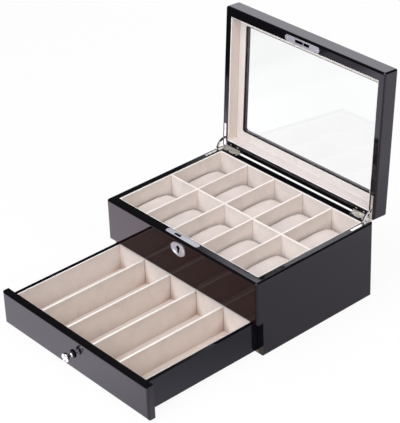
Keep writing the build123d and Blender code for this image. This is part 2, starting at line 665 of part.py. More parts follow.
def window(grow=0.0, mode=Mode.ADD):
    """Window opening seen from above, made larger all round by grow."""
    with Locations((0, (WINDOW_FRONT_Y + WINDOW_REAR_Y) / 2)):
        RectangleRounded(
            2 * (WINDOW_X + grow), WINDOW_REAR_Y - WINDOW_FRONT_Y + 2 * grow,
            WINDOW_CORNER, mode=mode,
        )


with BuildPart() as lid_top_panel:
    block((-HALF_WIDTH, FRONT_Y, PANEL_Z), (HALF_WIDTH, REAR_Y, LID_TOP_Z))
    outer = lid_top_panel.edges().filter_by(Axis.Z) + lid_top_panel.faces().sort_by(Axis.Z)[-1].edges()
    fillet(outer, EDGE_ROUND)
    with BuildSketch(Plane.XY.offset(PANEL_Z)):
        window()
    extrude(amount=TOP_PANEL, mode=Mode.SUBTRACT)
    with BuildSketch(Plane.XY.offset(PANEL_Z)):
        window(GLASS_LAP)
    extrude(amount=GLASS, mode=Mode.SUBTRACT)
write(lid_top_panel, "lid_top_panel", LID_OPEN)

with BuildPart() as window_glass:
    with BuildSketch(Plane.XY.offset(PANEL_Z)):
        window(GLASS_LAP - GLASS_FIT)
    extrude(amount=GLASS)
write(window_glass, "window_glass", LID_OPEN)

with BuildPart() as window_frame:
    with BuildSketch(Plane.XY.offset(PANEL_Z - WINDOW_FRAME)):
        with Locations((0, (INSIDE_FRONT_Y + INSIDE_REAR_Y) / 2)):
            Rectangle(2 * INSIDE_X, INSIDE_REAR_Y - INSIDE_FRONT_Y)
        window(WINDOW_REVEAL, mode=Mode.SUBTRACT)
    extrude(amount=WINDOW_FRAME)
write(window_frame, "window_frame", LID_OPEN)

with BuildPart() as lid_liner:
    with BuildSketch(Plane.XY.offset(LID_Z + LID_LINER_DROP)):
        with Locations((0, (INSIDE_FRONT_Y + INSIDE_REAR_Y) / 2)):
            Rectangle(2 * INSIDE_X, INSIDE_REAR_Y - INSIDE_FRONT_Y)
            Rectangle(
                2 * (INSIDE_X - LID_LINER), INSIDE_REAR_Y - INSIDE_FRONT_Y - 2 * LID_LINER,
                mode=Mode.SUBTRACT,
            )
    extrude(amount=PANEL_Z - WINDOW_FRAME - LID_Z - LID_LINER_DROP)
write(lid_liner, "lid_liner", LID_OPEN)

# Quadrant stay hinges: leaves, pins and the sliding quadrant arms

base_leaf = hinge_leaf(-1, "ends")
write(base_leaf, "hinge_base_leaf_right")
write(left_copy(base_leaf), "hinge_base_leaf_left")
lid_leaf = hinge_leaf(1, "middle")
write(lid_leaf, "hinge_lid_leaf_right", LID_OPEN)
write(left_copy(lid_leaf), "hinge_lid_leaf_left", LID_OPEN)

with BuildPart() as hinge_pin:
    with BuildSketch(Plane.YZ.offset(BARREL_START_X - PIN_HEAD_THICKNESS)):
        with Locations((HINGE_Y, HINGE_Z)):
            Circle(PIN_RADIUS)
    extrude(amount=BARREL_LENGTH + 2 * PIN_HEAD_THICKNESS)
    for start in (BARREL_START_X - PIN_HEAD_THICKNESS, BARREL_START_X + BARREL_LENGTH):
        with BuildSketch(Plane.YZ.offset(start)):
            with Locations((HINGE_Y, HINGE_Z)):
                Circle(PIN_HEAD_RADIUS)
        extrude(amount=PIN_HEAD_THICKNESS)
write(hinge_pin, "hinge_pin_right")
write(left_copy(hinge_pin), "hinge_pin_left")

with BuildPart() as stay_arm:
    arm_plane = Plane(
        origin=(STAY_X - STAY_THICKNESS / 2, HINGE_Y, HINGE_Z), x_dir=(0, 1, 0), z_dir=(1, 0, 0)
    )
    with BuildSketch(arm_plane):
        sector(STAY_INNER, STAY_OUTER, 180 - STAY_HALF_ANGLE, 2 * STAY_HALF_ANGLE)
    extrude(amount=STAY_THICKNESS)
    with BuildSketch(arm_plane):
        sector(STAY_LUG_INNER, STAY_OUTER, 180 + STAY_LUG_START, STAY_LUG_ANGLE)
    extrude(amount=STAY_THICKNESS)
    with BuildSketch(arm_plane):
        sector(STAY_LUG_INNER, STAY_OUTER, 180 - STAY_HALF_ANGLE, STAY_LUG_ANGLE)
    extrude(amount=STAY_THICKNESS)
write(stay_arm, "stay_arm_right", STAY_OPEN)
write(left_copy(stay_arm), "stay_arm_left", STAY_OPEN)

# Lock plate, case and hook bolt

with BuildPart() as lock_plate:
    with BuildSketch(Plane.XY.offset(RIM_Z)):
        plate_outline(LOCK_PLATE_LENGTH, LOCK_PLATE_WIDTH)
        with Locations(((LOCK_SLOT_LEFT + LOCK_SLOT_RIGHT) / 2, LOCK_Y)):
            Rectangle(LOCK_SLOT_RIGHT - LOCK_SLOT_LEFT, LOCK_SLOT_WIDTH, mode=Mode.SUBTRACT)
    extrude(amount=-LOCK_PLATE)
    for x, y in LOCK_SCREWS:
        with Locations((x, y, RIM_Z)):
            CounterSinkHole(SCREW_RADIUS + SCREW_FIT, SCREW_HEAD_RADIUS + SCREW_FIT, LOCK_PLATE)
write(lock_plate, "lock_plate")

case_front_y = LOCK_Y - CASE_THICKNESS / 2
case_rear_y = LOCK_Y + CASE_THICKNESS / 2
cavity = LOCK_SLOT_WIDTH / 2
hub_length = LOCK_SLOT_WIDTH - 2 * HOOK_FIT

with BuildPart() as lock_case:
    block((CASE_LEFT, case_front_y, CASE_BASE_Z), (CASE_RIGHT, case_rear_y, CASE_TOP_Z))
    block(
        (CASE_LEFT + CASE_WALL, LOCK_Y - cavity, CASE_BASE_Z + CASE_WALL),
        (CASE_RIGHT - CASE_WALL, LOCK_Y + cavity, CASE_TOP_Z),
        mode=Mode.SUBTRACT,
    )
    with BuildSketch(Plane.XZ.offset(-case_front_y)):
        with Locations((0, KEY_Z)):
            Circle(HUB_JOURNAL + HUB_FIT)
    extrude(amount=-CASE_THICKNESS, mode=Mode.SUBTRACT)
write(lock_case, "lock_case")

with BuildPart() as lock_hook:
    hook_plane = Plane(
        origin=(0, LOCK_Y + HOOK_THICKNESS / 2, KEY_Z), x_dir=(1, 0, 0), z_dir=(0, -1, 0)
    )
    with BuildSketch(hook_plane):
        sector(HOOK_INNER_RADIUS, HOOK_OUTER, 90 - HOOK_REST_NOSE, HOOK_ARC)
        tail = radians(90 - HOOK_REST_TAIL - degrees(HOOK_SPOKE / 2 / HOOK_INNER_RADIUS))
        reach = HOOK_INNER_RADIUS + HOOK_WIDTH / 2
        with Locations((reach / 2 * cos(tail), reach / 2 * sin(tail))):
            Rectangle(reach, HOOK_SPOKE, rotation=degrees(tail))
    extrude(amount=HOOK_THICKNESS)
    hub_plane = Plane(
        origin=(0, LOCK_Y + hub_length / 2, KEY_Z), x_dir=(1, 0, 0), z_dir=(0, -1, 0)
    )
    with BuildSketch(hub_plane):
        Circle(HUB_RADIUS)
    extrude(amount=hub_length)
    journal_plane = Plane(origin=(0, case_rear_y, KEY_Z), x_dir=(1, 0, 0), z_dir=(0, -1, 0))
    with BuildSketch(journal_plane):
        Circle(HUB_JOURNAL)
    extrude(amount=CASE_THICKNESS)
    with BuildSketch(journal_plane):
        with Locations((0, -KEY_BIT_LENGTH / 4)):
            Rectangle(KEY_BIT_WIDTH, KEY_BIT_LENGTH)
    extrude(amount=CASE_THICKNESS, mode=Mode.SUBTRACT)
write(lock_hook, "lock_hook")

with BuildPart() as striker_plate:
    with BuildSketch(Plane.XY.offset(LID_Z)):
        plate_outline(STRIKER_LENGTH, STRIKER_WIDTH)
        bridge_right = STRIKER_BRIDGE_LEFT + STRIKER_BRIDGE
        for left, right in (
            (STRIKER_SLOT_LEFT, STRIKER_BRIDGE_LEFT), (bridge_right, STRIKER_SLOT_RIGHT)
        ):
            with Locations(((left + right) / 2, LOCK_Y)):
                Rectangle(right - left, LOCK_SLOT_WIDTH, mode=Mode.SUBTRACT)
    extrude(amount=LOCK_PLATE)
    for x, y in STRIKER_SCREWS:
        with Locations(Plane(origin=(x, y, LID_Z), z_dir=(0, 0, -1))):
            CounterSinkHole(SCREW_RADIUS + SCREW_FIT, SCREW_HEAD_RADIUS + SCREW_FIT, LOCK_PLATE)
write(striker_plate, "striker_plate", LID_OPEN)

# Escutcheon: oval plate with a raised rim round a keyhole, held by two pins

with BuildPart() as escutcheon:
    centre = Location((0, KEY_Z - ESCUTCHEON_RIM))
    with BuildSketch(Plane.XZ.offset(-FRONT_Y)):
        with Locations(centre):
            Ellipse(ESCUTCHEON_HALF_WIDTH, ESCUTCHEON_HALF_HEIGHT)
    extrude(amount=ESCUTCHEON)
    with BuildSketch(Plane.XZ.offset(-FRONT_Y)):
        with Locations(centre):
            Ellipse(ESCUTCHEON_HALF_WIDTH, ESCUTCHEON_HALF_HEIGHT)
            Ellipse(
                ESCUTCHEON_HALF_WIDTH - ESCUTCHEON_RIM, ESCUTCHEON_HALF_HEIGHT - ESCUTCHEON_RIM,
                mode=Mode.SUBTRACT,
            )
    extrude(amount=ESCUTCHEON + ESCUTCHEON_RIM_RISE)
    with BuildSketch(Plane.XZ.offset(-FRONT_Y)):
        keyhole(KEYHOLE_RADIUS, KEYHOLE_SLOT, KEYHOLE_DROP)
        nail_x = ESCUTCHEON_HALF_WIDTH - PIN_NAIL_INSET
        with Locations((-nail_x, KEY_Z - ESCUTCHEON_RIM), (nail_x, KEY_Z - ESCUTCHEON_RIM)):
            Circle(PIN_NAIL_RADIUS + SCREW_FIT)
    extrude(amount=ESCUTCHEON, mode=Mode.SUBTRACT)
write(escutcheon, "escutcheon")
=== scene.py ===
import bpy
import bmesh
import json
from math import copysign, cos, pi, radians, sin
from mathutils import Matrix, Vector, noise
from mathutils.bvhtree import BVHTree


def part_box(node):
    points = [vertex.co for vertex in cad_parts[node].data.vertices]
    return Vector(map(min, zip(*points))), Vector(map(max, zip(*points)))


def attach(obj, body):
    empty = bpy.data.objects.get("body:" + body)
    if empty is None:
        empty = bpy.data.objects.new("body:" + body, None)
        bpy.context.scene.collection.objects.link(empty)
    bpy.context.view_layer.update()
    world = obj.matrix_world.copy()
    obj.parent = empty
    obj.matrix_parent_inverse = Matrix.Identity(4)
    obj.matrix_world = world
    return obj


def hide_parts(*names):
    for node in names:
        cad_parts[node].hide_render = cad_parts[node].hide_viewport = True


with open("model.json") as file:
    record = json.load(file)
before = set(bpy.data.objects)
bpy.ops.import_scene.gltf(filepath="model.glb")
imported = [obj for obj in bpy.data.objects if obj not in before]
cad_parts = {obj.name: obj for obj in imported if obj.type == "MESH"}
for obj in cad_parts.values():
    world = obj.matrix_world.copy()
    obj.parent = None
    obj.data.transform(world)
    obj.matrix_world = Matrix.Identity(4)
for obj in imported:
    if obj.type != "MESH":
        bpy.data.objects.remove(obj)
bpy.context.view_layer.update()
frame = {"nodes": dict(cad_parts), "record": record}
nodes = frame["nodes"]
scene = bpy.context.scene
joints = {joint["name"]: joint for joint in frame["record"]["behaviour"]["joints"]}
hinge_line = Vector(joints["lid_hinge"]["pos_m"])
lid_angle = radians(joints["lid_hinge"]["range_deg"][1])
leaf_low, leaf_high = (Vector(c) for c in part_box("hinge_base_leaf_right"))
plate_low, plate_high = (Vector(c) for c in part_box("lock_plate"))
lock_y = (plate_low.y + plate_high.y) / 2

# Camera, at the photograph's place

camera_data = bpy.data.cameras.new("camera")
camera_data.lens = 144.77
camera_data.sensor_width = 36
camera_data.clip_start = 0.05
camera_data.clip_end = 60
camera = bpy.data.objects.new("camera", camera_data)
scene.collection.objects.link(camera)
right = Vector((0.66606, 0.74520, -0.03225))
up = Vector((-0.36753, 0.36550, 0.85518))
back = Vector((0.64907, -0.55775, 0.51733))
stand = Matrix((right, up, back)).transposed().to_4x4()
stand.translation = Vector((1.46259, -1.32401, 1.31048))
camera.matrix_world = stand
scene.camera = camera


# Node helpers

class Nodes:
    """Short calls for the nodes of one tree."""

    def __init__(self, tree):
        self.tree = tree

    def link(self, source, target):
        self.tree.links.new(source, target)

    def add(self, kind, **values):
        node = self.tree.nodes.new(kind)
        for key, value in values.items():
            node.inputs[key.replace("_", " ")].default_value = value
        return node

    def ramp(self, value, stops):
        node = self.add("ShaderNodeValToRGB")
        elements = node.color_ramp.elements
        while len(elements) < len(stops):
            elements.new(0.5)
        for element, (position, colour) in zip(elements, stops):
            element.position = position
            element.color = (*colour, 1)
        self.link(value, node.inputs["Fac"])
        return node.outputs["Color"]

    def span(self, value, low, high, start=0.3, stop=0.7, kind="LINEAR"):
        """Value running from low to high while the input runs from start to stop."""
        node = self.add("ShaderNodeMapRange", From_Min=start, From_Max=stop, To_Min=low, To_Max=high)
        node.interpolation_type = kind
        self.link(value, node.inputs["Value"])
        return node.outputs["Result"]

    def math(self, operation, a, b):
        node = self.add("ShaderNodeMath")
        node.operation = operation
        for socket, value in zip(node.inputs, (a, b)):
            if hasattr(value, "default_value"):
                self.link(value, socket)
            else:
                socket.default_value = value
        return node.outputs[0]

    def split(self, vector):
        node = self.add("ShaderNodeSeparateXYZ")
        self.link(vector, node.inputs[0])
        return node.outputs[:3]


class Shader(Nodes):
    """A Principled material with short calls for its textures and masks."""

    def __init__(self, name):
        self.material = bpy.data.materials.new(name)
        self.material.use_nodes = True
        super().__init__(self.material.node_tree)
        self.principled = next(n for n in self.tree.nodes if n.type == "BSDF_PRINCIPLED")
        self.coords = self.add("ShaderNodeTexCoord").outputs["Object"]

    def set(self, **values):
        for key, value in values.items():
            self.principled.inputs[key.replace("_", " ")].default_value = value

    def colour(self, socket):
        self.link(socket, self.principled.inputs["Base Color"])

    def roughness(self, socket):
        self.link(socket, self.principled.inputs["Roughness"])

    def noise(self, scale, detail=2.0, rough=0.5, stretch=None, distortion=0.0):
        node = self.add(
            "ShaderNodeTexNoise", Scale=scale, Detail=detail, Roughness=rough, Distortion=distortion
        )
        source = self.coords
        if stretch:
            mapping = self.add("ShaderNodeMapping", Scale=stretch)
            self.link(source, mapping.inputs["Vector"])
            source = mapping.outputs["Vector"]
        self.link(source, node.inputs["Vector"])
        return node.outputs["Fac"]

    def tones(self, texture, dark, light):
        """Colour that follows a texture from dark to light."""
        return self.ramp(texture, [(0.3, dark), (0.7, light)])

    def mix(self, a, b, factor=0.5, blend="MIX"):
        node = self.add("ShaderNodeMix")
        node.data_type = "RGBA"
        node.blend_type = blend
        colour_sockets = [s for s in node.inputs if s.type == "RGBA"]
        if hasattr(factor, "default_value"):
            self.link(factor, node.inputs[0])
        else:
            node.inputs[0].default_value = factor
        self.link(a, colour_sockets[0])
        self.link(b, colour_sockets[1])
        return next(s for s in node.outputs if s.type == "RGBA")

    def bump(self, height, strength, distance):
        node = self.add("ShaderNodeBump", Strength=strength, Distance=distance)
        self.link(height, node.inputs["Height"])
        self.link(node.outputs["Normal"], self.principled.inputs["Normal"])

    def crevice(self, reach, stops):
        """Shade for narrow gaps, from how much of the surroundings is closed off."""
        node = self.add("ShaderNodeAmbientOcclusion", Distance=reach)
        node.samples = 8
        return self.ramp(node.outputs["AO"], stops)

    def axes(self):
        return self.split(self.coords)

    def distance(self, a, a_centre, b, b_centre):
        across, along = self.math("SUBTRACT", a, a_centre), self.math("SUBTRACT", b, b_centre)
        squares = self.math(
            "ADD", self.math("MULTIPLY", across, across), self.math("MULTIPLY", along, along)
        )
        return self.math("SQRT", squares, 0.0)

    def step(self, value, edge, rising=True, soft=0.0003):
        """Mask that turns on, or off when not rising, as the value passes an edge."""
        low, high = (0.0, 1.0) if rising else (1.0, 0.0)
        return self.span(value, low, high, edge - soft, edge + soft)

    def either(self, *masks):
        result = masks[0]
        for mask in masks[1:]:
            result = self.math("MAXIMUM", result, mask)
        return result

    def both(self, a, b):
        return self.math("MULTIPLY", a, b)


def shade(colour, factor):
    return tuple(min(1.0, c * factor) for c in colour)


# Masks for parts of a piece, in the frame's metres; most of them place painted highlights, painted
# shade and painted reflections

CRISP = 0.0002
PANEL_RIM, PANEL_END = 0.0044, 0.1485
LEAF_ARM, LEAF_LINE, LEAF_CORNER = 0.0056, 0.0009, 0.0095
BASE_LEAF_ARM_END, LID_LEAF_ARM_END = 0.0069, 0.0044
KEY_EYE, KEY_END, KEY_EYE_RADIUS, KEY_SLOT_HALF = 0.1058, 0.0978, 0.0034, 0.0020
SLOT_HALF, SLOT_MARGIN = 0.0021, 0.0003
LOCK_SLOTS = [(-0.0155, -0.0040)]
STRIKER_SLOTS = [(-0.0129, 0.0013), (0.0032, 0.0132)]
ROSE_SHADE, ROSE_FADE = 0.0032, 0.0006
HIGHLIGHT_DEPTH, LID_HIGHLIGHT_DEPTH, DRAWER_FLOOR_SHADE_DEPTH, FRAME_TOP = 0.0008, 0.0012, 0.0014, 0.012
LINER_WALL, FRAME_WALL, FRAME_FADE = -0.1372, -0.110, 0.003


def shut_place(s):
    """Places on the open lid as if it were shut: x, y and the height over the hinge line."""
    x, y, z = s.axes()
    across, rise = s.math("SUBTRACT", y, hinge_line.y), s.math("SUBTRACT", z, hinge_line.z)
    turned = s.math(
        "SUBTRACT", s.math("MULTIPLY", across, cos(lid_angle)),
        s.math("MULTIPLY", rise, sin(lid_angle)),
    )
    height = s.math(
        "ADD", s.math("MULTIPLY", across, sin(lid_angle)), s.math("MULTIPLY", rise, cos(lid_angle))
    )
    return x, s.math("ADD", turned, hinge_line.y), height


def panel_black(s):
    """The front panel's top rim and its right end, plain black lacquer without the painted reflection.
    """
    x, y, z = s.axes()
    return s.either(s.step(z, leaf_high.z - PANEL_RIM), s.step(x, PANEL_END))


def lid_painted_highlight_edge(s):
    """The lid lining's edge, where it meets the case; a painted highlight goes there."""
    return s.step(shut_place(s)[2], LID_HIGHLIGHT_DEPTH, False, CRISP)


def painted_highlight_top(node, depth=HIGHLIGHT_DEPTH):
    """The topmost part of a node, where a painted highlight goes."""
    return lambda s: s.step(s.axes()[2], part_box(node)[1][2] - depth, True, CRISP)


def painted_shade_low_face(node, depth):
    """The lowest part of a node, where painted shade goes."""
    return lambda s: s.step(s.axes()[2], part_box(node)[0][2] + depth, False, CRISP)


def painted_shading_left(x, soft):
    """What lies to the left of x, where a wall gets a painted shading."""
    return lambda s: s.step(s.axes()[0], x, False, soft)


def leaf_painted_shade(arm_end):
    """Painted shade: black along the edges of a leaf's side arm, and over its rear arm from arm_end on.
    """
    def mask(s):
        x, y, z = s.axes()
        side = s.math("ABSOLUTE", x, 0.0)
        away = s.distance(y, hinge_line.y, z, hinge_line.z)
        inner = leaf_high.x - LEAF_ARM
        rear = s.both(s.step(side, inner, False), s.step(away, arm_end))
        inside = s.both(s.step(side, inner + LEAF_LINE, False), s.step(away, LEAF_CORNER))
        outside = s.step(side, leaf_high.x - LEAF_LINE)
        return s.either(rear, inside, outside)
    return mask


def keyhole_painted_shade(s):
    """Painted shade: a black line round the keyhole, widening the dark of the hole."""
    x, y, z = s.axes()
    eye = s.step(s.distance(x, 0.0, z, KEY_EYE), KEY_EYE_RADIUS, False, CRISP)
    slot = s.step(s.math("ABSOLUTE", x, 0.0), KEY_SLOT_HALF, False, CRISP)
    slot = s.both(s.both(slot, s.step(z, KEY_EYE, False)), s.step(z, KEY_END))
    return s.either(eye, slot)


def slots_painted_shade(s, x, y, slots):
    """Painted shade: black lines round a plate's slots, each given by its two ends in x."""
    wide = s.step(s.math("ABSOLUTE", s.math("SUBTRACT", y, lock_y), 0.0), SLOT_HALF, False, CRISP)
    long = [
        s.both(s.step(x, left - SLOT_MARGIN), s.step(x, right + SLOT_MARGIN, False))
        for left, right in slots
    ]
    return s.both(wide, s.either(*long))


# Painted shade round the lock plate's slot and the striker plate's slots
def lock_slot_shade(s):
    x, y, z = s.axes()
    return slots_painted_shade(s, x, y, LOCK_SLOTS)


def striker_slot_shade(s):
    x, y, height = shut_place(s)
    return slots_painted_shade(s, x, y, STRIKER_SLOTS)


def shaded_rose(s):
    """The knob's rose painted dark against the head: a painted reflection of the dark lacquer round it.
    """
    x, y, z = s.axes()
    return s.step(y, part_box("knob")[1][1] - ROSE_SHADE, True, ROSE_FADE)


# Looks

def lacquer(name, colour, tint, face=None, reflection_gloss_tint=None):
    """Gloss lacquer; face and its gloss tint give the front panel, off its black rim and end, a painted
    reflection: a reddish-brown base and a dimmer tint for the brown velvet it mirrors.
    """
    s = Shader(name)
    haze = s.noise(9, 3)
    base = s.tones(haze, shade(colour, 0.8), shade(colour, 1.25))
    s.set(IOR=1.5, Specular_Tint=(*tint, 1))
    if face:
        black = panel_black(s)
        base = s.mix(s.tones(haze, shade(face, 0.8), shade(face, 1.25)), base, black)
        gloss = s.ramp(black, [(0.0, reflection_gloss_tint), (1.0, tint)])
        s.link(gloss, s.principled.inputs["Specular Tint"])
    s.colour(base)
    smear = s.noise(38, 4, 0.6, distortion=0.4)
    s.roughness(s.span(smear, 0.03, 0.075))
    s.bump(s.noise(140, 1), 0.05, 0.0004)
    return s.material


def velvet(name, colour, patches=(), crevice_shade=None, sheen=0.25):
    """Velvet; each patch is a mask and a colour painted there, painted highlights on edges and tops and
    painted light and shade on walls and floors; the crevice setting paints shade into narrow places.
    """
    s = Shader(name)
    nap = s.noise(34, 3, 0.6, distortion=0.6)
    brushed = s.ramp(nap, [(0.28, shade(colour, 0.93)), (0.52, colour), (0.75, shade(colour, 1.05))])
    pile = s.noise(1500, 2, 0.7)
    pelt = s.mix(brushed, s.tones(pile, (0.86, 0.86, 0.86), WHITE), 1.0, "MULTIPLY")
    if crevice_shade:
        pelt = s.mix(pelt, s.crevice(*crevice_shade), 1.0, "MULTIPLY")
    for mask, tone in patches:
        pelt = s.mix(pelt, s.tones(pile, shade(tone, 0.9), tone), mask(s))
    s.colour(pelt)
    s.roughness(s.span(pile, 0.82, 0.98))
    s.bump(pile, 0.35, 0.0004)
    s.set(Sheen_Weight=sheen, Sheen_Roughness=0.45, Sheen_Tint=(*shade(colour, 1.2), 1))
    s.set(IOR=1.4, Specular_IOR_Level=0.2)
    return s.material


def metal(name, colour, low, high, stretch=None, scale=160, bump=0.03, black=None):
    """Metal with a roughness from low to high, painted black where the black mask lies: painted shade,
    and on the knob's rose a painted reflection.
    """
    s = Shader(name)
    tone = s.noise(24, 2)
    base = s.tones(tone, shade(colour, 0.93), shade(colour, 1.03))
    if black:
        base = s.mix(base, s.tones(tone, (0.010, 0.010, 0.012), (0.02, 0.02, 0.022)), black(s))
    s.colour(base)
    s.set(Metallic=1.0)
    polish = s.noise(scale, 3, 0.6, stretch)
    s.roughness(s.span(polish, low, high))
    s.bump(polish, bump, 0.0003)
    return s.material


def brushed_plate(name, colour, low, high, black=None):
    return metal(name, colour, low, high, (6, 1, 1), 240, black=black)


def cast_leaf(name, high, arm_end):
    return metal(name, (1.0, 0.95, 0.90), 0.20, high, None, 620, 0.6, leaf_painted_shade(arm_end))


def glass(name):
    """Clear glass that lets the lamps through to what lies behind it."""
    s = Shader(name)
    s.set(Base_Color=(0.985, 0.995, 0.99, 1), Transmission_Weight=1.0, IOR=1.3)
    s.roughness(s.span(s.noise(12, 3, 0.6), 0.0, 0.012))
    clear = s.add("ShaderNodeBsdfTransparent")
    path = s.add("ShaderNodeLightPath")
    switch = s.add("ShaderNodeMixShader")
    output = next(n for n in s.tree.nodes if n.type == "OUTPUT_MATERIAL")
    s.link(path.outputs["Is Shadow Ray"], switch.inputs[0])
    s.link(s.principled.outputs[0], switch.inputs[1])
    s.link(clear.outputs[0], switch.inputs[2])
    s.link(switch.outputs[0], output.inputs["Surface"])
    return s.material


def board(name):
    s = Shader(name)
    fibre = s.noise(260, 5, 0.7, (1, 0.35, 1))
    s.colour(s.tones(fibre, (0.26, 0.18, 0.11), (0.42, 0.31, 0.2)))
    s.roughness(s.span(fibre, 0.7, 0.9))
    s.bump(fibre, 0.2, 0.0003)
    return s.material


def felt(name):
    s = Shader(name)
    wool = s.noise(900, 5, 0.75)
    s.colour(s.tones(wool, (0.012, 0.012, 0.013), (0.04, 0.04, 0.042)))
    s.roughness(s.span(wool, 0.9, 1.0))
    s.bump(wool, 0.6, 0.0006)
    return s.material


WHITE = (1.0, 1.0, 1.0)
BLACK_LACQUER, BLACK_TINT = (0.0032, 0.0029, 0.0042), (0.93, 0.92, 1.0)
BEIGE = (0.815, 0.745, 0.715)
# Colours painted on top edges and divider tops: painted highlights
PAINTED_HIGHLIGHT, DIVIDER_PAINTED_HIGHLIGHT = (0.97, 0.94, 0.93), (0.90, 0.83, 0.805)
# Crevice settings: how far the occlusion looks and the ramp that paints shade into corners, gaps and
# the pillows' creases
TRAY_CREVICE_SHADE = (0.004, [(0.30, (0.55, 0.46, 0.40)), (0.50, WHITE)])
DRAWER_CREVICE_SHADE = (0.024, [(0.30, (0.62, 0.50, 0.43)), (0.56, WHITE)])
PILLOW_CREVICE_SHADE = (0.008, [(0.36, (0.16, 0.10, 0.08)), (0.60, WHITE)])

MATERIALS = {
    "lacquer": lacquer("lacquer", BLACK_LACQUER, BLACK_TINT),
    # The front panel's face carries a painted reflection: a reddish-brown base and a dimmer gloss tint
    "panel_painted_reflection_lacquer": lacquer(
        "panel_painted_reflection_lacquer", BLACK_LACQUER, BLACK_TINT, (0.0110, 0.0020, 0.0026), (0.20, 0.16, 0.19)
    ),
    # The drawer's lacquer: the case's black with a bluer base and a dimmer, bluer gloss tint as a
    # painted reflection tone
    "drawer_lacquer": lacquer("drawer_lacquer", (0.0040, 0.0038, 0.0056), (0.54, 0.56, 0.65)),
    "board": board("board"),
    "felt": felt("felt"),
    "velvet": velvet("velvet", BEIGE),
    # Tray and drawer linings and dividers: painted highlights on their top edges, painted shade in
    # their corners
    "tray_velvet": velvet("tray_velvet", BEIGE, [(painted_highlight_top("tray_liner"), PAINTED_HIGHLIGHT)], TRAY_CREVICE_SHADE),
    "divider_top_velvet": velvet(
        "divider_top_velvet", BEIGE, [(painted_highlight_top("tray_divider_1"), DIVIDER_PAINTED_HIGHLIGHT)]
    ),
    "cross_velvet": velvet(
        "cross_velvet", (0.86, 0.79, 0.76), [(painted_highlight_top("tray_cross_divider"), DIVIDER_PAINTED_HIGHLIGHT)]
    ),
    # The drawer lining: its floor painted darker as painted shade, its top edge a painted highlight,
    # and shade painted into its corners
    "drawer_velvet": velvet(
        "drawer_velvet", (0.85, 0.78, 0.75),
        [
            (painted_shade_low_face("drawer_liner", DRAWER_FLOOR_SHADE_DEPTH), (0.755, 0.66, 0.615)),
            (painted_highlight_top("drawer_liner"), PAINTED_HIGHLIGHT),
        ],
        DRAWER_CREVICE_SHADE,
    ),
    "divider_velvet": velvet(
        "divider_velvet", (0.83, 0.75, 0.71), [(painted_highlight_top("drawer_divider_1"), PAINTED_HIGHLIGHT)], DRAWER_CREVICE_SHADE
    ),
    # The lid lining: its left wall painted lighter and warmer as painted light, its edge at the case a
    # painted highlight
    "lid_velvet": velvet(
        "lid_velvet", (0.72, 0.66, 0.655),
        [(painted_shading_left(LINER_WALL, CRISP), (0.80, 0.71, 0.667)), (lid_painted_highlight_edge, PAINTED_HIGHLIGHT)],
    ),
    # The window frame: its left part painted darker as painted shade, its top band white as a painted
    # highlight
    "frame_velvet": velvet(
        "frame_velvet", (0.88, 0.82, 0.80),
        [
            (painted_shading_left(FRAME_WALL, FRAME_FADE), (0.80, 0.735, 0.715)),
            (painted_highlight_top("window_frame", FRAME_TOP), WHITE),
        ],
    ),
    # Pillows: shade painted into their creases against the walls
    "pillow_velvet": velvet("pillow_velvet", (0.70, 0.63, 0.615), crevice_shade=PILLOW_CREVICE_SHADE, sheen=0.30),
    "glass": glass("glass"),
    "chrome": metal("chrome", (0.80, 0.80, 0.81), 0.03, 0.08),
    "knob_metal": metal("knob_metal", (0.82, 0.82, 0.83), 0.03, 0.08, black=shaded_rose),
    # Hinge leaves with painted shade on their arm edges and rear arms
    "base_leaf": cast_leaf("base_leaf", 0.52, BASE_LEAF_ARM_END),
    "lid_leaf": cast_leaf("lid_leaf", 0.46, LID_LEAF_ARM_END),
    "nickel": brushed_plate("nickel", (0.80, 0.80, 0.87), 0.40, 0.52),
    # The escutcheon's nickel: a brighter, bluer copy of the plates' nickel as a painted reflection
    # tint, with painted shade round the keyhole
    "keyhole_plate": brushed_plate("keyhole_plate", (0.80, 0.84, 0.97), 0.30, 0.42, keyhole_painted_shade),
    "lock_nickel": brushed_plate("lock_nickel", (0.80, 0.81, 0.89), 0.40, 0.52, lock_slot_shade),
    # The striker plate: a darker copy of the plates' nickel as painted shade, with painted shade round
    # its slots
    "striker_nickel_painted_shade": brushed_plate(
        "striker_nickel_painted_shade", (0.68, 0.68, 0.74), 0.40, 0.52, striker_slot_shade
    ),
    # The lock's steel, seen through the keyhole, is near black: painted shade for the dark hole
    "steel": metal("steel", (0.05, 0.05, 0.055), 0.34, 0.5, None, 300),
}

# Pieces whose look is finer than their material slot's

OTHER_LOOKS = {
    "front_panel": "panel_painted_reflection_lacquer",
    "lid_liner": "lid_velvet",
    "window_frame": "frame_velvet",
    "drawer_liner": "drawer_velvet",
    "tray_liner": "tray_velvet",
    "tray_cross_divider": "cross_velvet",
    "striker_plate": "striker_nickel_painted_shade",
    "lock_plate": "lock_nickel",
    "escutcheon": "keyhole_plate",
}
for number in range(1, 5):
    OTHER_LOOKS[f"drawer_divider_{number}"] = "divider_velvet"
    OTHER_LOOKS[f"tray_divider_{number}"] = "divider_top_velvet"
for hand in ("left", "right"):
    OTHER_LOOKS[f"hinge_base_leaf_{hand}"] = "base_leaf"
    OTHER_LOOKS[f"hinge_lid_leaf_{hand}"] = "lid_leaf"

SOFT_PIECES = ("tray_", "drawer_divider", "drawer_liner", "lid_liner", "window_frame")
WELD, SOFT_EDGE = 0.00002, 0.0008

